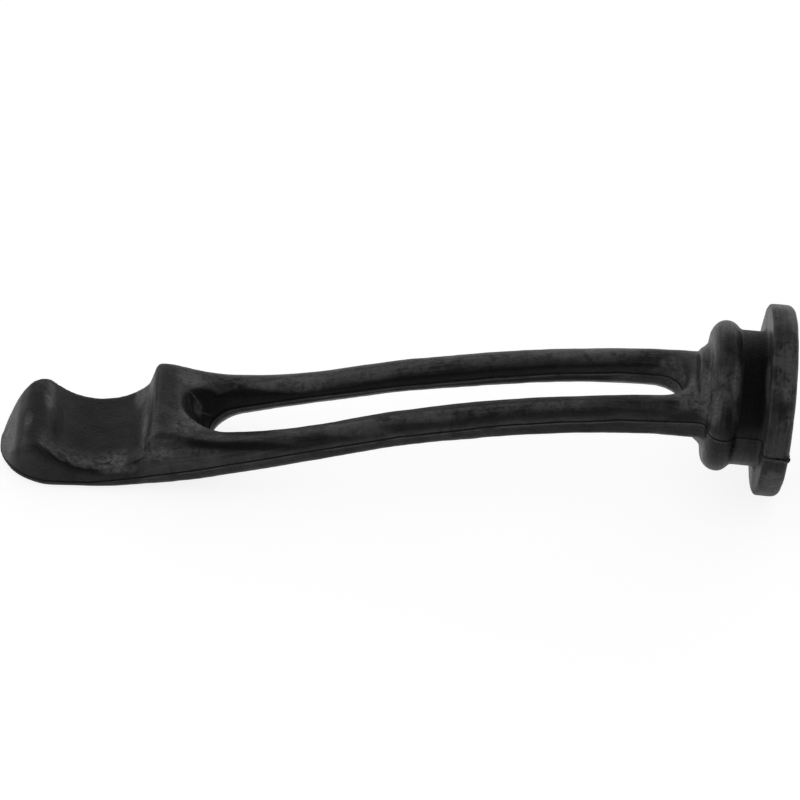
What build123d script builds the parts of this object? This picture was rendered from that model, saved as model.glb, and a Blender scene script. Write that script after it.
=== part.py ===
# Rubber draw latch strap: one moulding in black rubber, lying on its head and its flange rim.
# +X runs along the strap from the finger head to the flange, +Z is up and Y is the mirror direction.
# While it is modelled, X is counted from the inner face of the flange and Z from the surface it
# lies on. At the end it moves so that its origin is at the bottom centre of its box. Millimetres.
from build123d import *
from math import cos, radians, sin, sqrt, tan
import os

# Anchor end: a flange, the groove that sits in a panel hole, the snap bead and its collar.
flange_diameter = 36.1
flange_thickness = 4.9
flange_inner_chamfer = 0.4
flange_outer_round = 1.5
neck_diameter = 25.4
groove_width = 5.0
bead_height = 1.5  # how far the bead stands above the neck
bead_round = 2.85
collar_diameter = 17.2
collar_flare = 1.3
collar_length = 2.0
anchor_tilt = 4.0  # degrees that the anchor's axis drops towards the flange

# Strap, from the head to the anchor. Each row of its outline gives half width, underside, top and
# top edge radius. Next to the head a row starts with its distance from it, and along the arms
# with its share of the length that is left.
strap_length = 118.0
strap_end = -9.0
strap_start = strap_end - strap_length
root_rows = [
    (0.0, 11.4, 0.0, 13.9, 1.0),
    (15.0, 11.4, 1.4, 13.6, 1.0),
    (25.0, 11.5, 3.4, 11.7, 1.4),
    (40.0, 11.4, 7.1, 13.0, 2.4),
]
arm_rows = [
    (0.244, 10.8, 11.6, 17.4, 2.5),
    (0.487, 10.3, 14.4, 20.7, 2.5),
    (0.679, 10.1, 15.75, 22.3, 2.5),
    (0.846, 9.5, 15.6, 23.15, 2.3),
    (1.0, 9.0, 14.5, 23.2, 2.0),
]
root_length = root_rows[-1][0]
strap_outline = [(strap_start + distance, *row) for distance, *row in root_rows]
strap_outline += [
    (strap_start + root_length + share * (strap_length - root_length), *row) for share, *row in arm_rows
]
root_sections, arm_sections = 8, 16
bottom_chamfer = 1.0

# Head: the nose, oval in plan, the end face, the lip, the finger saddle and the ridge.
head_length = 15.5
nose_tip = strap_start - head_length
nose_height = 1.7
nose_depth = 10.3
end_face_slope = 51.5
lip_round = 2.9
head_block_height = 12.0
saddle_radius = 12.3
saddle_setback = 18.3  # from the nose tip to the saddle's middle
saddle_reach = 9.2  # from there to the foot of the ridge
saddle_x, saddle_z = nose_tip + saddle_setback, 16.8
saddle_end = saddle_x + saddle_reach
ridge_slope = 72.0
ridge_height = 13.2
ridge_round = 1.5
ridge_run_out = 10.0
head_edge_round = 0.6

# Slot between the arms: its ends lean outwards towards the top.
pocket_setback = 11.6  # from the foot of the ridge to the slot's left end
yoke_length = 5.6  # from the slot's right end to the strap's end
slot_left, slot_left_height, slot_left_lean = saddle_end + pocket_setback, 6.0, 36.0
slot_right, slot_right_height, slot_right_lean = strap_end - yoke_length, 19.4, 15.0
slot_left_half_width = 5.8
slot_right_half_width = 4.8
slot_waist, slot_waist_half_width = strap_start + strap_length / 2, 4.95
slot_top_round = 2.1
slot_bottom_chamfer = 1.8

ridge_foot = saddle_end + 4.0  # where the ridge's crest ends and the strap's top begins
over = 30.0  # how far cutting tools reach past the part
tiny = 0.1  # margin when edges are picked by where they lie


def outline_at(x):
    """Half width, underside, top and edge radius at x, on a smooth curve through strap_outline."""
    index = max(i for i, row in enumerate(strap_outline[:-1]) if row[0] <= x or i == 0)
    before = strap_outline[max(index - 1, 0)]
    start, end = strap_outline[index], strap_outline[index + 1]
    after = strap_outline[min(index + 2, len(strap_outline) - 1)]
    span = end[0] - start[0]
    u = (x - start[0]) / span
    values = []
    for k in range(1, len(start)):
        slope_in = (end[k] - before[k]) / (end[0] - before[0]) * span if index else 0
        slope_out = (after[k] - start[k]) / (after[0] - start[0]) * span
        values.append(
            (2 * u**3 - 3 * u**2 + 1) * start[k]
            + (u**3 - 2 * u**2 + u) * slope_in
            + (3 * u**2 - 2 * u**3) * end[k]
            + (u**3 - u**2) * slope_out
        )
    return values


def strap_section(x):
    half_width, underside, top, top_round = outline_at(x)
    face = Pos(0, (underside + top) / 2) * Rectangle(2 * half_width, top - underside)
    face = fillet(face.vertices().sort_by(Axis.Y)[-2:], top_round)
    face = chamfer(face.vertices().sort_by(Axis.Y)[:2], bottom_chamfer)
    return Plane.YZ.offset(x) * face


def strap_body():
    root_end = strap_start + root_length
    root = [strap_start + root_length * i / root_sections for i in range(root_sections)]
    arms = [root_end + (strap_end - root_end) * i / arm_sections for i in range(arm_sections + 1)]
    return loft([strap_section(x) for x in root + arms])


def head_block():
    """Plain block under the lip, as wide as the strap where it meets it, with a bowed nose."""
    joint, half_width = strap_start, strap_outline[0][1]
    shoulder = nose_tip + nose_depth
    plan = Pos(shoulder) * Ellipse(nose_depth, half_width)
    plan += Pos((shoulder + joint) / 2) * Rectangle(joint - shoulder, 2 * half_width)
    plan &= Pos(joint - over) * Rectangle(2 * over, 2 * over)
    block = extrude(plan, head_block_height)
    lower = block.faces().sort_by(Axis.Z)[0].edges()
    return chamfer(lower - lower.sort_by(Axis.X)[-1:], bottom_chamfer)


def head_cutter():
    """All that is taken away above the end face, the lip, the saddle and the ridge."""
    slope = tan(radians(end_face_slope))
    foot = nose_height - slope * nose_tip - saddle_z
    a, b, c = 1 + slope**2, 2 * slope * foot - 2 * saddle_x, saddle_x**2 + foot**2 - saddle_radius**2
    lip_x = (-b - sqrt(b**2 - 4 * a * c)) / (2 * a)
    lip = (lip_x, nose_height + slope * (lip_x - nose_tip))
    wall_foot = (saddle_end, saddle_z - sqrt(saddle_radius**2 - (saddle_end - saddle_x) ** 2))
    ridge_x = saddle_end + (ridge_height - wall_foot[1]) / tan(radians(ridge_slope))
    ridge = (ridge_x, ridge_height)
    low = (nose_tip - over / slope, nose_height - over)
    far = (ridge_x + over / tan(radians(ridge_run_out)), ridge_height + over)
    outline = [
        Line(low, lip),
        ThreePointArc(lip, (saddle_x, saddle_z - saddle_radius), wall_foot),
        Line(wall_foot, ridge),
        Line(ridge, far),
        Line(far, (low[0], far[1])),
        Line((low[0], far[1]), low),
    ]
    face = make_face(outline)
    face = fillet(face.vertices().sort_by_distance((*lip, 0))[0], lip_round)
    face = fillet(face.vertices().sort_by_distance((*ridge, 0))[0], ridge_round)
    return extrude(Plane.XZ * face, over, both=True)


def slot_outline(z):
    left = slot_left + (slot_left_height - z) * tan(radians(slot_left_lean))
    right = slot_right - (slot_right_height - z) * tan(radians(slot_right_lean))
    near_left = (left + slot_left_half_width, -slot_left_half_width)
    far_left = (left + slot_left_half_width, slot_left_half_width)
    near_right = (right - slot_right_half_width, -slot_right_half_width)
    far_right = (right - slot_right_half_width, slot_right_half_width)
    waist = (slot_waist, slot_waist_half_width)
    outline = [
        ThreePointArc(far_left, (left, 0), near_left),
        Spline(near_left, (waist[0], -waist[1]), near_right, tangents=((1, 0), (1, 0))),
        ThreePointArc(near_right, (right, 0), far_right),
        Spline(far_right, waist, far_left, tangents=((-1, 0), (-1, 0))),
    ]
    return Pos(0, 0, z) * make_face(outline)


def slot_cutter():
    return loft([slot_outline(-over * tiny), slot_outline(over)], ruled=True)


def anchor():
    """Flange, groove, bead and collar, turned about the anchor's own axis."""
    flange_r, neck_r, collar_r = flange_diameter / 2, neck_diameter / 2, collar_diameter / 2
    bead_r = neck_r + bead_height
    bead_centre_r = bead_r - bead_round
    bead_x = -groove_width - sqrt(bead_round**2 - (neck_r - bead_centre_r) ** 2)
    bead_left = bead_x - bead_round
    collar_x = bead_left - collar_length
    outline = [
        Line((collar_x, 0), (flange_thickness, 0)),
        Line((flange_thickness, 0), (flange_thickness, flange_r)),
        Line((flange_thickness, flange_r), (0, flange_r)),
        Line((0, flange_r), (0, neck_r)),
        Line((0, neck_r), (-groove_width, neck_r)),
        ThreePointArc((-groove_width, neck_r), (bead_x, bead_r), (bead_left, bead_centre_r)),
        Line((bead_left, bead_centre_r), (bead_left, collar_r)),
        Line((bead_left, collar_r), (collar_x, collar_r)),
        Line((collar_x, collar_r), (collar_x, 0)),
    ]
    face = make_face(outline)

    def corner(x, y):
        return face.vertices().sort_by_distance((x, y, 0))[0]

    face = fillet(corner(flange_thickness, flange_r), flange_outer_round)
    face = chamfer(corner(0, flange_r), flange_inner_chamfer)
    face = chamfer(corner(bead_left, collar_r), collar_flare)
    return revolve(face, Axis.X)


def anchor_place():
    """Turns the anchor to its tilt and lays the flange's rim on the surface."""
    tilt = radians(anchor_tilt)
    rim = flange_diameter / 2 - flange_outer_round
    lift = flange_outer_round + rim * cos(tilt) + (flange_thickness - flange_outer_round) * sin(tilt)
    return Pos(0, 0, lift) * Rot(0, anchor_tilt, 0)


def rims(shape, low, high):
    """Edges whose own boxes lie between two corners."""
    inside = []
    for edge in shape.edges():
        box = edge.bounding_box()
        if min(*(box.min - Vector(low))) > 0 and min(*(Vector(high) - box.max)) > 0:
            inside.append(edge)
    return ShapeList(inside)


def slot_rims(body, side):
    """The slot's edges on the strap's top (side 1) or underside (side -1), less its wall seams."""
    widest = slot_left_half_width + tiny
    low, high = (ridge_foot, -widest, -over), (strap_end - tiny, widest, over)
    found = []
    for edge in rims(body, low, high):
        underside, top = outline_at(edge.center().X)[1:3]
        if side * (edge.center().Z - (underside + top) / 2) > 0 and edge.bounding_box().size.Y > tiny:
            found.append(edge)
    return found


def latch_strap():
    body = strap_body() + head_block()
    body -= head_cutter()
    # Edges of the end face, lip and saddle, up to where the ridge runs out into the strap.
    top_rims = rims(body, (nose_tip - tiny, -over, bottom_chamfer), (ridge_foot, over, over))
    across = [
        edge
        for edge in top_rims.filter_by(Axis.Y, tolerance=1)
        if edge.center().X > nose_tip + head_edge_round
    ]
    upright = top_rims.filter_by(Axis.Z)
    body = fillet(top_rims - across - upright, head_edge_round)
    body -= slot_cutter()
    body = fillet(slot_rims(body, 1), slot_top_round)
    body = chamfer(slot_rims(body, -1), slot_bottom_chamfer)
    body += anchor_place() * anchor()
    box = body.bounding_box()
    return Pos(-box.center().X, 0, -box.min.Z) * body


os.makedirs("parts", exist_ok=True)
export_step(latch_strap(), "parts/latch_strap.step")
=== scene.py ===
import bpy
from math import cos, radians, sin
from mathutils import Matrix, Vector


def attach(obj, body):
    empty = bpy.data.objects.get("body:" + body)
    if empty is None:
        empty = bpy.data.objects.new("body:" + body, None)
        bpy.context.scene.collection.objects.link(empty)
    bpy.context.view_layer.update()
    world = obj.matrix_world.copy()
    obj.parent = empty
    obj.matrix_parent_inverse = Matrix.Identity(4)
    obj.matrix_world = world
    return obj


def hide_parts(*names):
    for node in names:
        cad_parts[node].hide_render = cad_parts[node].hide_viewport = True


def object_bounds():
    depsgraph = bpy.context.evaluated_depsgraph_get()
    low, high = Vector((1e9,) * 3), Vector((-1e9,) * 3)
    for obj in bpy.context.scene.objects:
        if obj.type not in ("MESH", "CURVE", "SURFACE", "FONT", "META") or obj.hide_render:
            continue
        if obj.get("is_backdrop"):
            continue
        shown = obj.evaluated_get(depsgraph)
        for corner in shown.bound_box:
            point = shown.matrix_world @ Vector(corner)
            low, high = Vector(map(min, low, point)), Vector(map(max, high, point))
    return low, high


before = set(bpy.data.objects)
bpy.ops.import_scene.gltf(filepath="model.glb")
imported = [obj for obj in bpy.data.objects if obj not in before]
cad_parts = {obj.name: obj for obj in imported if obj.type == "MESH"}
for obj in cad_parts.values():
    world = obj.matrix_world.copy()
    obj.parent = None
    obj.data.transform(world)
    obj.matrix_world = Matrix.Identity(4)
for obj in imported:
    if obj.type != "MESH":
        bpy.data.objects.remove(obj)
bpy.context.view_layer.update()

mm = 0.001
mergeGap = 0.002 * mm  # corners of the CAD mesh closer than this are one corner


def deselectAll():
    if bpy.context.object and bpy.context.object.mode != "OBJECT":
        bpy.ops.object.mode_set(mode="OBJECT")
    bpy.ops.object.select_all(action="DESELECT")


def useOnly(obj):
    deselectAll()
    obj.select_set(True)
    bpy.context.view_layer.objects.active = obj


def finishModifier(obj, kind, **settings):
    useOnly(obj)
    mod = obj.modifiers.new(kind.lower(), kind)
    for name, value in settings.items():
        setattr(mod, name, value)
    bpy.ops.object.modifier_apply(modifier=mod.name)


def roughen(obj, name, size, depth, strength, middle):
    # pushes a surface in and out by a cloud pattern of the given size
    pattern = bpy.data.textures.new(name, "CLOUDS")
    pattern.noise_scale, pattern.noise_depth = size, depth
    finishModifier(
        obj, "DISPLACE", texture=pattern, strength=strength, mid_level=middle, texture_coords="LOCAL",
    )


def shadeSmooth(obj):
    useOnly(obj)
    bpy.ops.object.shade_smooth()


def triangles(obj):
    return sum(len(p.vertices) - 2 for p in obj.data.polygons)


def copyOf(source, name):
    # a new object with its own mesh
    copy = bpy.data.objects.new(name, source.data.copy())
    bpy.context.collection.objects.link(copy)
    return copy


def cadCopy(node, name):
    # the node's own mesh stays as it is, only the copy is merged
    copy = copyOf(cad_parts[node], name)
    useOnly(copy)
    bpy.ops.object.mode_set(mode="EDIT")
    bpy.ops.mesh.select_all(action="SELECT")
    bpy.ops.mesh.remove_doubles(threshold=mergeGap)
    bpy.ops.mesh.normals_make_consistent(inside=False)
    bpy.ops.object.mode_set(mode="OBJECT")
    copy.data.materials.clear()
    return copy


class Value:
    # a socket that can be used in ordinary sums
    def __init__(self, shader, socket):
        self.shader, self.socket = shader, socket

    def math(self, operation, *values):
        return self.shader.node("ShaderNodeMath", {"operation": operation}, dict(enumerate(values)))

    def __add__(self, other):
        return self.math("ADD", self, other)

    def __radd__(self, other):
        return self.math("ADD", other, self)

    def __sub__(self, other):
        return self.math("SUBTRACT", self, other)

    def __rsub__(self, other):
        return self.math("SUBTRACT", other, self)

    def __mul__(self, other):
        return self.math("MULTIPLY", self, other)

    def __rmul__(self, other):
        return self.math("MULTIPLY", other, self)

    def __truediv__(self, other):
        return self.math("DIVIDE", self, other)

    def __pow__(self, other):
        return self.math("POWER", self, other)

    def least(self, other):
        return self.math("MINIMUM", self, other)

    def most(self, other):
        return self.math("MAXIMUM", self, other)

    def size(self):
        return self.math("ABSOLUTE", self)

    def step(self, start, end):
        # 0 before start, 1 after end, smooth between them; start may be the larger
        return self.shader.node(
            "ShaderNodeMapRange", {"interpolation_type": "SMOOTHSTEP"},
            {"Value": self, "From Min": start, "From Max": end},
        )

    def between(self, low, high, fade):
        # 1 from low to high, fading to 0 over a distance outside them
        return self.step(low - fade, low) * self.step(high + fade, high)


class Shader:
    # the nodes of a new material or world
    def __init__(self, owner):
        owner.use_nodes = True
        self.tree = owner.node_tree
        self.tree.nodes.clear()

    def node(self, kind, settings=None, inputs=None, output=0):
        made = self.tree.nodes.new(kind)
        for name, value in (settings or {}).items():
            if name == "stops":
                for stop, (place, level) in zip(made.color_ramp.elements, value):
                    stop.position, stop.color = place, (level, level, level, 1)
            else:
                setattr(made, name, value)
        for name, value in (inputs or {}).items():
            if isinstance(value, Value):
                self.tree.links.new(value.socket, made.inputs[name])
            else:
                made.inputs[name].default_value = value
        return Value(self, made.outputs[output]) if made.outputs else None

    def noise(self, place, scale, detail, roughness, distortion):
        return self.node("ShaderNodeTexNoise", {}, {
            "Vector": place, "Scale": scale, "Detail": detail,
            "Roughness": roughness, "Distortion": distortion,
        })

    def mix(self, factor, first, second):
        # colours, by factor
        return self.node("ShaderNodeMix", {"data_type": "RGBA"}, {0: factor, 6: first, 7: second}, output=2)

    def objectPlace(self):
        return self.node("ShaderNodeTexCoord", {}, {}, output=3)

    def rays(self, kind):
        # 1 for rays of that kind, such as Camera
        return self.node("ShaderNodeLightPath", {}, {}, output=f"Is {kind} Ray")

    def split(self, vector):
        made = self.tree.nodes.new("ShaderNodeSeparateXYZ")
        self.tree.links.new(vector.socket, made.inputs[0])
        return [Value(self, made.outputs[i]) for i in range(3)]

    def combine(self, x, y, z):
        return self.node("ShaderNodeCombineXYZ", {}, {0: x, 1: y, 2: z})

    def patch(self, place, centre, reach, soft=0.4):
        # 1 inside an oval region given in millimetres, fading to 0 at its edge
        scale = [1 / (r * mm) for r in reach]
        shift = [-c * mm * k for c, k in zip(centre, scale)]
        local = self.node(
            "ShaderNodeVectorMath", {"operation": "MULTIPLY_ADD"}, {0: place, 1: scale, 2: shift},
        )
        away = self.node("ShaderNodeVectorMath", {"operation": "LENGTH"}, {0: local}, output=1)
        return away.step(1, soft)


strapLook = {
    "voxel": 0.5 * mm,
    "relax": 3,
    "easing": 0.5,
    # edges that wear and the mould leave rounder: lowest corner, highest corner, fade, rounds
    "soft": [
        ((-80, -13, 2.5), (-45, -7, 30), 2.0, 34),
        ((-80, 7, 2.5), (-45, 13, 30), 2.0, 4),
        ((54, -15, 4), (60.6, 15, 34), 1.3, 18),
    ],
    # where the moulding is fuller: centre and reach in millimetres, then how far it stands out
    "fuller": [
        ((-70.8, 5, 6.6), (5.5, 16, 5.4), 0.7 * mm),
        ((-74.2, 1, 3.6), (3.2, 12, 4.2), 0.3 * mm),
    ],
    # unevenness of the skin: size, depth, strength and middle of its pattern
    "waves": (7 * mm, 2, 0.22 * mm, 0.5),
}


def easeRegion(obj, low, high, fade, rounds):
    # smooths one box-shaped region of a piece, less and less towards its border
    group = obj.vertex_groups.new(name="softRegion")
    for v in obj.data.vertices:
        inside = 1.0
        for k in range(3):
            inside *= min(1, max(0, (v.co[k] / mm - low[k]) / fade))
            inside *= min(1, max(0, (high[k] - v.co[k] / mm) / fade))
        if inside > 0:
            group.add([v.index], inside, "REPLACE")
    finishModifier(obj, "SMOOTH", factor=strapLook["easing"], iterations=rounds, vertex_group=group.name)
    obj.vertex_groups.clear()


def swell(obj, centre, reach, amount):
    # pushes one oval region of a piece outwards, most at its centre
    group = obj.vertex_groups.new(name="fullRegion")
    for v in obj.data.vertices:
        away = sum(((v.co[k] / mm - centre[k]) / reach[k]) ** 2 for k in range(3))
        if away < 1:
            group.add([v.index], (1 - away) ** 2, "REPLACE")
    finishModifier(obj, "DISPLACE", strength=amount, mid_level=0.0, vertex_group=group.name)
    obj.vertex_groups.clear()


strap = cadCopy("latch_strap", "mouldedStrap")
surface = cadCopy("latch_strap", "strapSurface")
finishModifier(strap, "REMESH", mode="VOXEL", voxel_size=strapLook["voxel"], adaptivity=0)
finishModifier(strap, "SHRINKWRAP", target=surface, wrap_method="NEAREST_SURFACEPOINT")
bpy.data.objects.remove(surface, do_unlink=True)
finishModifier(strap, "SMOOTH", factor=strapLook["easing"], iterations=strapLook["relax"])
for low, high, fade, rounds in strapLook["soft"]:
    easeRegion(strap, low, high, fade, rounds)
for centre, reach, amount in strapLook["fuller"]:
    swell(strap, centre, reach, amount)
roughen(strap, "handMade", *strapLook["waves"])
shadeSmooth(strap)
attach(strap, "root")
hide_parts("latch_strap")
print("strap", triangles(strap), "triangles")


seamLook = {
    "height": 0.3 * mm,
    "proud": 0.1 * mm,
    "sharpAngle": 40,
    "sheetReach": 30 * mm,
    # x and z of the line along the strap, in millimetres
    "line": [
        (-76, 1.6), (-57, 1.5), (-47, 3.2), (-37, 5.4), (-18, 10.2), (0.6, 14.4), (19.2, 17.5),
        (30, 18.8), (41.7, 19.5), (56.6, 19.0), (77, 17.7),
    ],
    "flange": [(67.6, 18.3), (70, 18.0), (72.2, 17.6), (74.6, 17.9)],
    "flangeHeight": 0.8 * mm,
    "flangeProud": 0.12 * mm,
    "flangeVoxel": 0.22 * mm,
    # torn surfaces: size, depth, strength and middle of each pattern
    "tornEdge": (0.9 * mm, 3, 0.5 * mm, 0.58),
    "tornTag": (0.7 * mm, 3, 0.55 * mm, 0.5),
    # centre and size in millimetres, and turn, of each scrap of flash
    "tags": [
        ((72.3, -17.8, 17.9), (2.0, 1.1, 1.6), 20),
        ((70.6, -17.95, 17.9), (2.6, 0.7, 0.8), -8),
        ((69.0, -17.9, 18.3), (1.8, 0.6, 0.8), 12),
    ],
}


def partingSheet(name, points, thickness):
    # one edge of a plane, drawn out along the line, then given its thickness
    line = [Vector((x * mm, 0, z * mm)) for x, z in points]
    reach = seamLook["sheetReach"]
    deselectAll()
    bpy.ops.mesh.primitive_plane_add(size=2 * reach, location=line[0] + Vector((reach, 0, 0)))
    sheet = bpy.context.object
    sheet.name = name
    bpy.ops.object.transform_apply(location=True, rotation=True, scale=True)
    # a new plane is selected all over, so its far corners are picked after deselecting it
    bpy.ops.object.mode_set(mode="EDIT")
    bpy.ops.mesh.select_mode(type="VERT")
    bpy.ops.mesh.select_all(action="DESELECT")
    bpy.ops.object.mode_set(mode="OBJECT")
    for v in sheet.data.vertices:
        v.select = v.co.x > line[0].x + reach
    bpy.ops.object.mode_set(mode="EDIT")
    bpy.ops.mesh.delete(type="VERT")
    bpy.ops.mesh.select_all(action="SELECT")
    for start, end in zip(line, line[1:]):
        bpy.ops.mesh.extrude_region_move(TRANSFORM_OT_translate={"value": tuple(end - start)})
    bpy.ops.object.mode_set(mode="OBJECT")
    finishModifier(sheet, "SOLIDIFY", thickness=thickness, offset=0)
    return sheet


def seamPiece(name, points, height):
    # the slice of the moulding that lies between the two faces of the sheet
    sheet = partingSheet(name + "Sheet", points, height)
    piece = copyOf(strap, name)
    finishModifier(piece, "BOOLEAN", operation="INTERSECT", object=sheet, solver="EXACT")
    bpy.data.objects.remove(sheet, do_unlink=True)
    return piece


def raiseSkin(piece, height):
    finishModifier(piece, "DISPLACE", strength=height, mid_level=0.0, direction="NORMAL")


def keepOnBody(piece):
    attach(piece, "root")
    print(piece.name, triangles(piece), "triangles")


seam = seamPiece("partingSeam", seamLook["line"], seamLook["height"])
raiseSkin(seam, seamLook["proud"])
useOnly(seam)
bpy.ops.object.shade_smooth_by_angle(angle=radians(seamLook["sharpAngle"]))
keepOnBody(seam)

# the mould halves leave a wider, torn line across the flange
flangeSeam = seamPiece("flangeSeam", seamLook["flange"], seamLook["flangeHeight"])
finishModifier(flangeSeam, "REMESH", mode="VOXEL", voxel_size=seamLook["flangeVoxel"], adaptivity=0)
raiseSkin(flangeSeam, seamLook["flangeProud"])
roughen(flangeSeam, "tornEdge", *seamLook["tornEdge"])
shadeSmooth(flangeSeam)
keepOnBody(flangeSeam)


def flashTag(name, centre, size, turn):
    # a torn scrap of flash: a ball 1 mm across, pressed flat, pulled out of round and roughened
    deselectAll()
    bpy.ops.mesh.primitive_ico_sphere_add(
        subdivisions=4, radius=0.5 * mm, location=[c * mm for c in centre],
    )
    tag = bpy.context.object
    tag.name = name
    tag.scale = size
    tag.rotation_euler = (0, radians(turn), 0)
    bpy.ops.object.transform_apply(location=True, rotation=True, scale=True)
    roughen(tag, name + "Rough", *seamLook["tornTag"])
    shadeSmooth(tag)
    return tag


tags = [flashTag(f"flashTag{i + 1}", *place) for i, place in enumerate(seamLook["tags"])]
for tag in tags:
    keepOnBody(tag)


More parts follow.
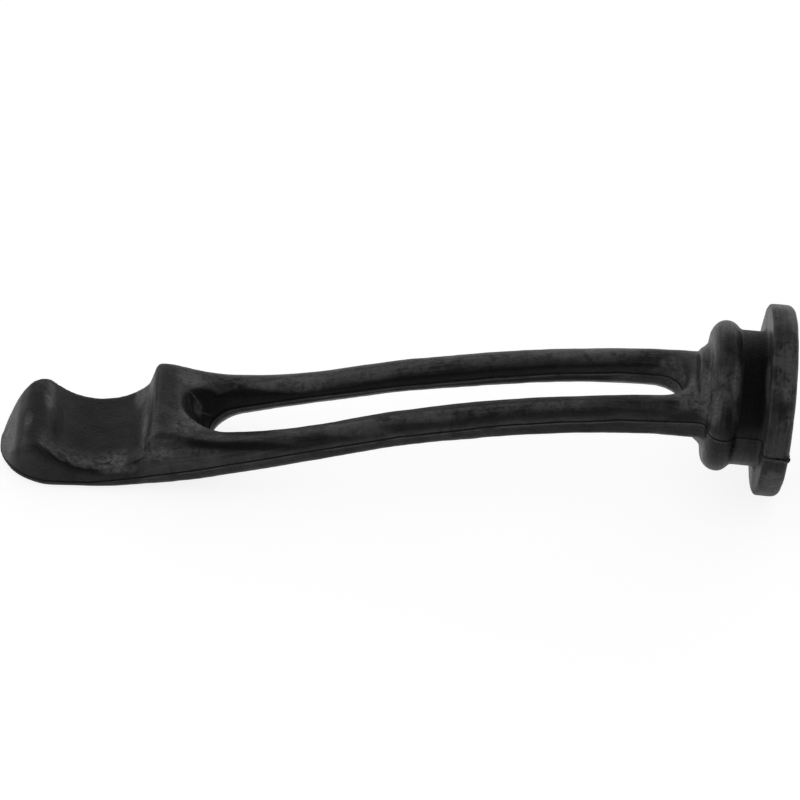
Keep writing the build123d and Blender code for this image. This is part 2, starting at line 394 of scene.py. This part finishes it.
rubberLook = {
    # deep is the colour of the painted shade, and of pits in the grain
    "deep": (0.003, 0.0028, 0.0028, 1),
    "dark": (0.0062, 0.0059, 0.006, 1),
    "mid": (0.0298, 0.0283, 0.0289, 1),
    # a pale colour for real bloom, for painted sheen and for light specks in the grain
    "bloomAndSheen": (0.08, 0.0755, 0.082, 1),
    # the colour of the soft painted light and of the parting line's painted highlight
    "paintedHighlight": (0.115, 0.109, 0.113, 1),
    "scuffAndHighlight": (0.15, 0.143, 0.146, 1),
    "roughness": 0.5,
    "gloss": 0.08,
    "pits": 1.7,
    "specks": 0.5,
    "fleck": 3.0,
    "sheen": 0.37,
    "sheenRoughness": 0.36,
    "bumpStrength": 0.8,
    "bumpDepth": 0.2 * mm,
    # patterns: scale, detail, roughness and distortion
    "broad": (230, 3, 0.6, 0.4),
    "fine": (900, 4, 0.65, 0.6),
    "grain": (2300, 3, 0.65, 0),
    "veins": (380, 2, 0.5, 1.4),
    "streaks": (1, 3, 0.7, 0),
    # streaks: how close across them, how close along them
    "streakScale": (2.4, 0.13),
    # centre and reach of each region in millimetres, then its strength
    # real bloom on the rubber together with painted light and painted reflections, as on the flange's inner
    # face and the yoke
    "bloomAndSheenPatches": [
        ((-38.6, 7.4, 12.6), (3.6, 3.2, 2), 0.9),
        ((-38.4, -7.4, 12.4), (4, 2.2, 1.8), 1.0),
        ((-43, -4, 13.4), (2, 4, 1.5), 0.4),
        ((-65.4, 5.5, 8.8), (1.7, 5.5, 3), 0.9),
        ((2, -8, 17.2), (20, 1.8, 4), 0.6),
        ((-30, 6.7, 11.2), (6, 2, 1.8), 0.6),
        ((-18, 6.9, 13.1), (11, 2.0, 2.4), 1.0),
        ((-43.5, -11.4, 9), (3, 1.4, 1.8), 0.8),
        ((60.6, -11.3, 27), (1.6, 2, 2.6), 0.7),
        ((72.6, -14, 29), (1.8, 3, 4), 0.6),
        ((38, 6.8, 22.2), (13, 1.9, 2), 0.9),
        ((55.2, -7.2, 23), (5, 4, 2), 1.0),
        ((55.2, -3.4, 23), (3.2, 3.4, 2), 0.8),
        ((58.1, -7.2, 25.2), (1.8, 4.5, 4), 1.0),
        ((61.6, -8.6, 29.8), (2.8, 2.8, 2.6), 0.7),
        ((59.5, -11.2, 26.4), (1.2, 1.8, 2.6), 0.6),
        ((62.9, -9, 28.6), (0.9, 5, 4), 0.9),
        ((62.8, -12.6, 22.6), (0.8, 2.4, 4), 0.7),
        ((68.8, -8, 28), (0.8, 7, 4.5), 0.9),
        ((68.3, -12.8, 20), (0.7, 1.6, 5), 0.8),
        ((73.2, -8.5, 33.2), (1.5, 8, 4), 0.7),
        ((73.0, -15.6, 26), (1.4, 2.2, 4), 0.7),
        ((71.4, -8.5, 33.5), (3.4, 7, 3.6), 0.75),
        ((71.4, -12.6, 30.8), (3.4, 2.2, 2.2), 0.6),
        ((71.6, -16.6, 24.5), (3, 2, 2.6), 0.4),
        ((71, -17.2, 13), (3, 2.5, 4), 0.7),
        ((-72.6, 1, 4.2), (2.6, 9, 4), 1.0),
        ((-40.5, -5, 13), (4, 5, 1.5), 0.5),
        ((53.4, 2.4, 21.2), (1.8, 2.2, 1.6), 0.9),
    ],
    # real scuffs, and painted highlights on the lip, the ridge's left face and the yoke by the slot's end
    "scuffAndHighlightPatches": [
        ((-43.2, -11.4, 9.2), (2.8, 1.6, 2.0), 0.9),
        ((-46, -11, 9.5), (1.6, 1.6, 3.5), 0.6),
        ((-73.6, 2, 4), (2.4, 10, 4.5), 0.8),
        ((-68.9, -1.4, 8.3), (1.1, 3.4, 1.3), 0.3),
        ((-66.8, 8.4, 9.1), (1.8, 2.6, 1.2), 0.25),
        ((-48.2, 9, 7.4), (1.4, 3.6, 1.8), 0.55),
        ((-46.9, -2.5, 8.9), (0.9, 3.2, 1.6), 0.4),
        ((-52, -10.8, 5), (2.8, 1.3, 1.2), 0.7),
        ((56.3, -8.7, 22.7), (3.2, 2.2, 1.5), 0.5),
        ((56.9, -4, 26.4), (1.2, 4, 2.2), 0.8),
        ((58.5, 3.6, 28.8), (1.2, 3, 2.6), 0.9),
        ((70.2, -16.9, 12.4), (2.4, 2, 4), 0.35),
        ((58.5, -5.5, 27.6), (1.0, 5, 3.4), 0.7),
        ((58.3, -8.6, 24.8), (1.6, 4.6, 4.4), 1.0),
        ((62.6, -9.6, 28.4), (0.8, 3.4, 3.4), 0.5),
        ((51.4, 4.6, 22.2), (3, 1.8, 1.6), 1.0),
        ((54.5, -5.2, 23.2), (2.4, 2, 1), 0.5),
    ],
    # soft places of painted light, with no hard edge
    "paintedLight": [
        ((-72, 5, 4.6), (2, 8, 3.6), 0.7),
        ((-68.9, -2.2, 8.3), (1.2, 3.8, 1.4), 0.4),
        ((-66.6, 8, 9.1), (2, 3.4, 1.4), 0.25),
        ((-53.4, -10.6, 4.9), (3.2, 1.7, 1.6), 0.9),
        ((-50, -11.4, 5.4), (3, 1.3, 1.5), 0.6),
        ((-48.4, 8.6, 7.3), (1.8, 5, 2.2), 1.0),
        ((-46.9, -2.5, 8.9), (1.1, 5, 2), 1.0),
        ((-43.8, -11.4, 9.2), (1.8, 1.4, 2.2), 0.4),
        ((-38, -6.6, 12.3), (2.8, 1.8, 1.4), 0.7),
        ((-37.2, 2.2, 9.8), (1.3, 2.2, 2.6), 0.5),
        ((-20, 6.9, 12.7), (11, 1.9, 2.2), 0.8),
        ((-4, 6.4, 15.8), (13, 1.5, 1.8), 0.3),
        ((32, 7.2, 22.3), (15, 1.8, 1.6), 0.5),
        ((-6, -9.8, 15), (13, 1.4, 1.8), 0.5),
        ((8, -9.3, 18.2), (12, 1.1, 1.5), 0.3),
        ((30, -8.4, 21.9), (11, 1.3, 1.4), 0.4),
        ((51.2, 5, 22.3), (2.6, 1.8, 1.5), 0.8),
        ((50.6, 4.6, 20.4), (4.5, 2.2, 1.5), 0.45),
        ((53.6, 2.1, 21), (1.4, 1.8, 1.2), 0.5),
        ((55, -7.8, 22.9), (2.6, 2.2, 1.6), 0.7),
        ((57.8, -9.8, 22.9), (3, 4, 3), 1.0),
        ((59.3, -12, 24.6), (1.5, 2.6, 4), 0.9),
        ((60.4, -8.8, 28.2), (1.1, 2, 2.4), 0.45),
        ((56.8, -3.8, 26.4), (1, 4, 2.4), 0.45),
        ((58.6, 3.6, 28.8), (1, 3, 2.4), 0.6),
        ((63, -8, 29.4), (1, 5, 3.8), 0.9),
        ((68.9, -8, 28), (0.8, 6, 4), 0.5),
        ((72.8, -7, 34), (1.3, 6, 3), 0.35),
        ((72.2, -12.4, 31), (1.5, 3.6, 4), 0.6),
        ((70.3, -17, 12.2), (2.6, 2.2, 4.6), 0.75),
    ],
    # where thin wrinkles show, their creases darkened with painted shade
    "wrinkled": [
        ((-41, -6, 12.8), (6, 7, 3), 0.8),
        ((-36, -10.8, 11), (12, 2, 2.6), 0.8),
        ((-30, 7.5, 11), (10, 3, 2.5), 0.9),
        ((-73, 2, 4), (3, 9, 4), 0.9),
        ((57.5, -6, 25), (3, 8, 6), 0.7),
        ((60, -11, 25), (3, 4, 8), 0.5),
        ((-53, -11, 5), (9, 2, 3), 0.6),
    ],
    # painted shade: recesses, corners between parts and faces turned from the light, darker than the rest
    "paintedShade": [
        ((-43, 0, 13.6), (2.8, 14, 2), 0.5),
        ((-31, -10.9, 11.5), (17, 1.2, 1.5), 0.85),
        ((-32, 7, 11.3), (3.5, 2.3, 1.6), 0.35),
        ((-45.6, 2, 12.3), (1.1, 14, 2), 0.8),
        ((-63.4, -0.5, 6.8), (2, 10, 2.2), 0.9),
        ((-28, -7, 12), (9, 2, 2), 1.0),
        ((48, -9.6, 20.3), (15, 1.6, 2.1), 0.4),
        ((57.6, -11.2, 16.4), (1.4, 2.6, 3), 0.85),
        ((67.4, -9.8, 7.4), (1.2, 6, 6.5), 0.95),
        ((61.7, -13.4, 23.4), (0.9, 2, 5), 0.4),
        ((63.6, 0, 32), (1.4, 5, 1.6), 0.7),
        ((63.4, -12.6, 17.5), (1.2, 2.4, 3), 0.5),
        ((70.5, 4, 36), (2.6, 5, 1.8), 0.5),
        ((61.8, -13.6, 21), (2.8, 3, 6), 0.5),
        ((62.8, -12, 14.5), (1.8, 4, 4.5), 0.5),
        ((61.6, -2, 32.4), (2.2, 4.5, 1.8), 0.5),
        ((54, -9.2, 20.6), (5, 1.2, 1.6), 0.4),
        ((-70.3, -5, 6.4), (1.6, 7, 2.8), 0.75),
        ((-46.4, 1, 10), (1.2, 10, 3.5), 0.3),
        ((71.5, -15, 28), (3.4, 1.6, 1.8), 0.5),
        ((-64.8, -3, 8.4), (1.8, 4, 2.6), 0.45),
    ],
    # places within the head's painted shade that are left lighter, where light falls on it
    "spared": [
        ((-70.6, 7, 6.5), (3, 8, 4), 0.6),
        ((-65.3, 6, 8.8), (1.5, 6, 3.2), 0.85),
        ((-65.2, -8.5, 8), (2, 3, 3), 0.4),
    ],
    # scratches in the pocket: y and z of a point on each, and y gained for each step up
    "scratches": [(3.4, 12.2, 0.15), (1.6, 11.4, 1.1), (2.4, 8.6, -0.7)],
    # strengths of the painted shade on the head, the slot's walls, the outer shoulders, the inner rim and
    # the lower walls
    "head": 0.68,
    "slot": 0.9,
    "shoulder": 0.6,
    "innerRim": 0.55,
    "lowerWall": 0.85,
    # the saddle: middle of its arc in x and z, its radius
    "saddleMiddle": (-56.0, 16.8),
    "saddleRadius": 12.3,
    # the saddle's near edge: its y, where the nose starts, how much the nose rounds it
    "nearEdge": (-11.4, -58.8, 0.012),
    # the pocket at the head's end of the opening: centre, reach, softness
    "pocket": ((-34.9, 0.2, 8), (5.9, 6.1, 60), 0.88),
    # the anchor: height of its axis and its lean
    "axisHeight": 18.25,
    "lean": 0.07,
    # spans in millimetres: low, high and the fade outside them
    "rubbedSpan": (-65, -46.5, 3),
    "wideBand": (-54.5, -51.5, 1.5),
    "thinBand": (-49.6, -48, 0.8),
    "creaseSpan": (0.1, 0.3, 0.22),
    "wallSpan": (-36, 50, 3),
    "shoulderSpan": (-14, 56, 8),
    "shoulderHeight": (1.5, 2.3, 0.8),
    "innerRimSide": (-7.3, -5.5, 0.6),
    "innerRimSpan": (-30, 44, 6),
    "neckSpan": (63.6, 67.8, 0.6),
    "crackSpan": (0.14, 0.36, 0.09),
    "paleSpan": (-0.3, 0.02, 0.1),
    "lowerSpan": (-28, 38, 5),
    "headSpan": (-70.6, -48.5, 1.6),
    "scratchWidth": (-0.1, 0.1, 0.16),
    # painted light on the tops of the arms, far then near: span in y, span in x, strength
    "paintedTopLights": [
        ((6.1, 7.3, 0.8), (-26, 44, 6), 0.6),
        ((-9.4, -8.1, 0.8), (-16, 32, 6), 0.5),
    ],
    # steps in millimetres, from none to full
    "anchorStart": (56.5, 58.5),
    "innerWall": (6.3, 5.5),
    "outerShoulder": (8.5, 9.3),
    "neckWall": (13.5, 12.9),
    "nearSide": (-8.8, -9.8),
    "topHeight": (2.0, 2.6),
}


def blackRubber():
    look = rubberLook
    material = bpy.data.materials.new("blackRubber")
    shader = Shader(material)
    place = shader.objectPlace()
    x, y, z = [part / mm for part in shader.split(place)]
    broad = shader.noise(place, *look["broad"])
    fine = shader.noise(place, *look["fine"])
    grain = shader.noise(place, *look["grain"])
    worn = fine * 0.6 + grain * 0.2 + broad * 0.3
    veins = (shader.noise(place, *look["veins"]) - 0.5).size().step(0.035, 0.01)

    def region(name):
        total = 0
        for centre, reach, strength in look[name]:
            total = shader.patch(place, centre, reach) * strength + total
        return total.least(1)

    # height above the parting line, whose slope changes at each of its points
    points = seamLook["line"]
    height, slope = z - points[0][1], 0
    for (x1, z1), (x2, z2) in zip(points, points[1:]):
        rise = (z2 - z1) / (x2 - x1)
        height = height - (x - x1).most(0) * (rise - slope)
        slope = rise

    # streaks: along the arms, and round the anchor, which leans
    lean = x - (z - look["axisHeight"]) * look["lean"]
    close, far = look["streakScale"]
    along = shader.noise(shader.combine(x * far, y * close, height * close), *look["streaks"])
    around = shader.noise(shader.combine(lean * close, y * far, z * far), *look["streaks"])
    drawn = along + (around - along) * x.step(*look["anchorStart"])
    drawn = (drawn - 0.5) * (0.2 + x.step(-46, -40) * 0.8) + 0.5

    # the saddle's near edge: a rubbed band, and a torn crease under it that is darkened with painted shade
    across = x - look["saddleMiddle"][0]
    down = z - look["saddleMiddle"][1]
    outside = ((across ** 2 + down ** 2) ** 0.5 - look["saddleRadius"]).most(0)
    edgeY, noseStart, noseRound = look["nearEdge"]
    nose = (noseStart - x).most(0)
    edge = y - edgeY - nose * nose * noseRound - outside + (broad - 0.5) * 1.6
    rubbed = x.between(*look["rubbedSpan"])
    spots = 0.7 + x.between(*look["wideBand"]) * 0.5 - x.between(*look["thinBand"]) * 0.4
    band = edge.step(7, 2.2) * edge.step(0.45, 0.8) * rubbed * spots
    crease = edge.between(*look["creaseSpan"]) * rubbed * z.step(10, 7) * fine.step(0.35, 0.55)

    # painted shade on the walls of the long opening, down to the parting line, and in its pocket
    pocket = shader.patch(place, *look["pocket"])
    walls = (y.size() - x.step(-15, -30) * 1.1).step(*look["innerWall"]) * x.between(*look["wallSpan"])
    darkTop = 1.2 + x.step(-17, -31) * 2.8 + x.step(-12, 0) * 0.8
    walls = walls * (height - darkTop).step(0.7, -0.2) * (0.6 + drawn * 0.6).most(x.step(-8, -18))
    walls = walls.most(pocket) * height.step(-0.25, 0.15) * look["slot"] * (1 - x.step(15, 40) * 0.35)

    # painted shade on the outer shoulders, inner rim and lower walls of the arms, and under the near side
    shoulders = y.size().step(*look["outerShoulder"]) * x.between(*look["shoulderSpan"])
    shoulders = shoulders * height.between(*look["shoulderHeight"]) * look["shoulder"] * (0.3 + drawn)
    innerRim = y.between(*look["innerRimSide"]) * x.between(*look["innerRimSpan"])
    innerRim = innerRim * height.step(0.8, 1.6) * look["innerRim"]
    lower = y.size().step(*look["innerWall"]) * height.step(-0.2, -0.8) * x.between(*look["lowerSpan"])
    under = y.step(*look["nearSide"]) * height.step(0, -0.6) * x.step(-46, -40)
    under = under * (0.25 + x.step(15, 35) * 0.3)

    # painted shade on the neck, between bead and flange
    radius = (y ** 2 + (z - look["axisHeight"]) ** 2) ** 0.5
    neck = lean.between(*look["neckSpan"]) * radius.step(*look["neckWall"])
    neck = neck * (0.58 + z.step(18.6, 22) * 0.4)

    # the parting line: painted shade in its crack, and a painted highlight on the edge under it
    level = height + (fine - 0.5) * 0.2
    crack = level.between(*look["crackSpan"]) * (broad * 0.8 + 0.45)
    paintedHighlight = level.between(*look["paleSpan"]) * broad.step(0.35, 0.6)

    # all the painted shade; on the head it is stronger on the saddle than on the near side
    head = x.between(*look["headSpan"]) * look["head"] * (1 - region("spared"))
    head = head * (0.74 + edge.step(-0.3, 0.8) * 0.36)
    wrinkles = veins * region("wrinkled")
    paintedShade = head.most(under).most(region("paintedShade")).most(walls).most(shoulders)
    paintedShade = paintedShade.most(innerRim).most(neck).most(lower * look["lowerWall"])
    paintedShade = paintedShade.most(crease * 0.8).most(crack * 0.9).most(wrinkles * 0.75)

    # painted light along the inner edge of the far arm's top and the outer edge of the near arm's
    farTop, nearTop = [y.between(*side) * x.between(*span) * s for side, span, s in look["paintedTopLights"]]
    paintedTopLight = farTop.most(nearTop) * height.step(*look["topHeight"])

    mottle = (broad * 0.35 + fine * 0.25 + drawn * 0.6).step(0.42, 0.76)
    base = shader.mix(mottle, look["dark"], look["mid"])
    # real bloom together with painted light, painted sheen and the parting line's painted highlight
    bloomAndSheen = region("bloomAndSheenPatches").most(paintedTopLight) + 0.12
    bloomAndSheen = bloomAndSheen * (broad * 0.4 + fine * 0.4 + drawn * 0.2).step(0.41, 0.57)
    base = shader.mix(bloomAndSheen.most(paintedHighlight * 0.8), base, look["bloomAndSheen"])
    # painted shade: all these masks are mixed towards the deep colour
    base = shader.mix(paintedShade, base, look["deep"])

    # scuffs and painted highlights: single patches, the saddle's worn band, a painted highlight on the tip
    # of the nose, scratches in the pocket
    scuffAndHighlight = (region("scuffAndHighlightPatches") * worn.step(0.48, 0.64)).most(band * worn.step(0.42, 0.66))
    scratches = 0
    for y1, z1, gain in look["scratches"]:
        scratch = (y - y1 - (z - z1) * gain + (broad - 0.5) * 2).between(*look["scratchWidth"])
        scratches = scratch * z.between(z1 - 2.4, z1 + 0.6, 1.0) + scratches
    noseTipHighlight = x.step(-70.4, -72.4) * y.step(-8.4, -5.4) * z.step(1.2, 5) * (0.5 + fine * 1.3)
    scuffAndHighlight = scuffAndHighlight.most(noseTipHighlight).most(pocket * scratches.least(1) * fine.step(0.38, 0.58) * 0.4)
    # soft painted light, mixed in over the listed places
    base = shader.mix(region("paintedLight") * (0.35 + worn.step(0.42, 0.62) * 0.65), base, look["paintedHighlight"])
    base = shader.mix(scuffAndHighlight, base, look["scuffAndHighlight"])
    base = shader.mix((grain - 0.43).most(0) * look["pits"], base, look["deep"])
    base = shader.mix((0.45 - grain).most(0) * look["specks"], base, look["bloomAndSheen"])

    rough = look["roughness"] + (fine - 0.5) * 0.2 + (grain - 0.5) * 0.3
    sheen = look["sheen"] * (1 - paintedShade) * (1 - scuffAndHighlight * 0.6) * (0.55 + mottle * 0.6)
    sheen = sheen * (1 + (grain - 0.5) * look["fleck"])
    bump = shader.node("ShaderNodeBump", {}, {
        "Strength": look["bumpStrength"], "Distance": look["bumpDepth"],
        "Height": grain + fine * 0.6 + drawn * 0.5 + scuffAndHighlight * 0.7 - (crease + crack + wrinkles) * 1.6,
    })
    skin = shader.node("ShaderNodeBsdfPrincipled", {}, {
        "Base Color": base, "Roughness": rough, "Normal": bump,
        "Specular IOR Level": look["gloss"],
        "Coat Weight": sheen, "Coat Roughness": look["sheenRoughness"],
    })
    shader.node("ShaderNodeOutputMaterial", {}, {"Surface": skin})
    return material


rubber = blackRubber()
for piece in (strap, seam, flangeSeam, *tags):
    piece.data.materials.clear()
    piece.data.materials.append(rubber)
print("rubber ready")


studio = {
    "floor": (0.8, 0.8, 0.8, 1),
    "floorSize": 3.0,
    "floorHeight": -0.01 * mm,
    "white": (1, 1, 1, 1),
    # the floor as it is seen: how much of it takes shadow, and how much glows
    "shade": (0.3, 0.3, 0.3, 1),
    "glow": 0.85,
    # grey of the sky at the horizon and overhead
    "sky": [(0.0, 0.42), (1.0, 0.47)],
    "softboxes": [
        # place, aim, width, height, power
        ((0.1, 1.0, 0.33), (0, 0, 0.01), 1.8, 0.4, 3.2),
        ((-0.9, -0.1, 0.25), (0, 0, 0.01), 0.5, 0.5, 1.2),
    ],
}

deselectAll()
bpy.ops.mesh.primitive_grid_add(
    x_subdivisions=2, y_subdivisions=2, size=studio["floorSize"], location=(0, 0, studio["floorHeight"]),
)
floor = bpy.context.object
floor.name = "paleFloor"
bpy.ops.object.transform_apply(location=True, rotation=True, scale=True)
floor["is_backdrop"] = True


def floorMaterial():
    # a white ground to look at, and plain paper to the light that falls on the object
    material = bpy.data.materials.new("floorWhite")
    shader = Shader(material)
    seen = shader.rays("Camera").most(shader.rays("Glossy")).most(shader.rays("Transmission"))
    paper = shader.node("ShaderNodeBsdfDiffuse", {}, {"Color": studio["floor"]})
    shade = shader.node("ShaderNodeBsdfDiffuse", {}, {"Color": studio["shade"]})
    glow = shader.node("ShaderNodeEmission", {}, {"Color": studio["white"], "Strength": studio["glow"]})
    lit = shader.node("ShaderNodeAddShader", {}, {0: shade, 1: glow})
    shown = shader.node("ShaderNodeMixShader", {}, {0: seen, 1: paper, 2: lit})
    shader.node("ShaderNodeOutputMaterial", {}, {"Surface": shown})
    return material


def skyWorld():
    # a soft grey sky, shown to the camera as white
    world = bpy.data.worlds.new("studioSky")
    shader = Shader(world)
    upward = shader.split(shader.node("ShaderNodeTexCoord"))[2]
    grey = shader.node("ShaderNodeValToRGB", {"stops": studio["sky"]}, {0: upward})
    sky = shader.node("ShaderNodeBackground", {}, {"Color": grey})
    plain = shader.node("ShaderNodeBackground", {}, {"Color": studio["white"]})
    shown = shader.node("ShaderNodeMixShader", {}, {0: shader.rays("Camera"), 1: sky, 2: plain})
    shader.node("ShaderNodeOutputWorld", {}, {"Surface": shown})
    return world


floor.data.materials.append(floorMaterial())
bpy.context.scene.world = skyWorld()

for i, (place, aim, width, height, power) in enumerate(studio["softboxes"]):
    lamp = bpy.data.lights.new(f"softbox{i + 1}", "AREA")
    lamp.shape = "RECTANGLE"
    lamp.size, lamp.size_y, lamp.energy = width, height, power
    box = bpy.data.objects.new(lamp.name, lamp)
    bpy.context.collection.objects.link(box)
    box.location = place
    box.rotation_euler = (Vector(aim) - Vector(place)).to_track_quat("-Z", "Y").to_euler()


cameraLook = {
    "elevation": 37.8,
    "azimuth": 0.19,
    "roll": 2.12,
    "lens": 283.2,
    "sensor": 36,
    "clip": (0.01, 20),
    "distance": 1182 * mm,
    "target": (0, 0, 14 * mm),
    "aside": 0.73 * mm,
    "above": 0.8 * mm,
}


def addCamera():
    rise, turn, roll = (radians(cameraLook[k]) for k in ("elevation", "azimuth", "roll"))
    along = Vector((sin(turn) * cos(rise), cos(turn) * cos(rise), -sin(rise)))
    level = Vector((cos(turn), -sin(turn), 0))
    upright = level.cross(along)
    right = level * cos(roll) + upright * sin(roll)
    up = upright * cos(roll) - level * sin(roll)
    lens = bpy.data.cameras.new("studioCamera")
    lens.lens, lens.sensor_width = cameraLook["lens"], cameraLook["sensor"]
    lens.clip_start, lens.clip_end = cameraLook["clip"]
    camera = bpy.data.objects.new("studioCamera", lens)
    bpy.context.collection.objects.link(camera)
    at = Vector(cameraLook["target"]) + right * cameraLook["aside"] + up * cameraLook["above"]
    at -= along * cameraLook["distance"]
    camera.matrix_world = Matrix((
        (right.x, up.x, -along.x, at.x),
        (right.y, up.y, -along.y, at.y),
        (right.z, up.z, -along.z, at.z),
        (0, 0, 0, 1),
    ))
    bpy.context.scene.camera = camera


addCamera()
bpy.context.scene.view_settings.view_transform = "Standard"
print("stage ready")

low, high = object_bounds()
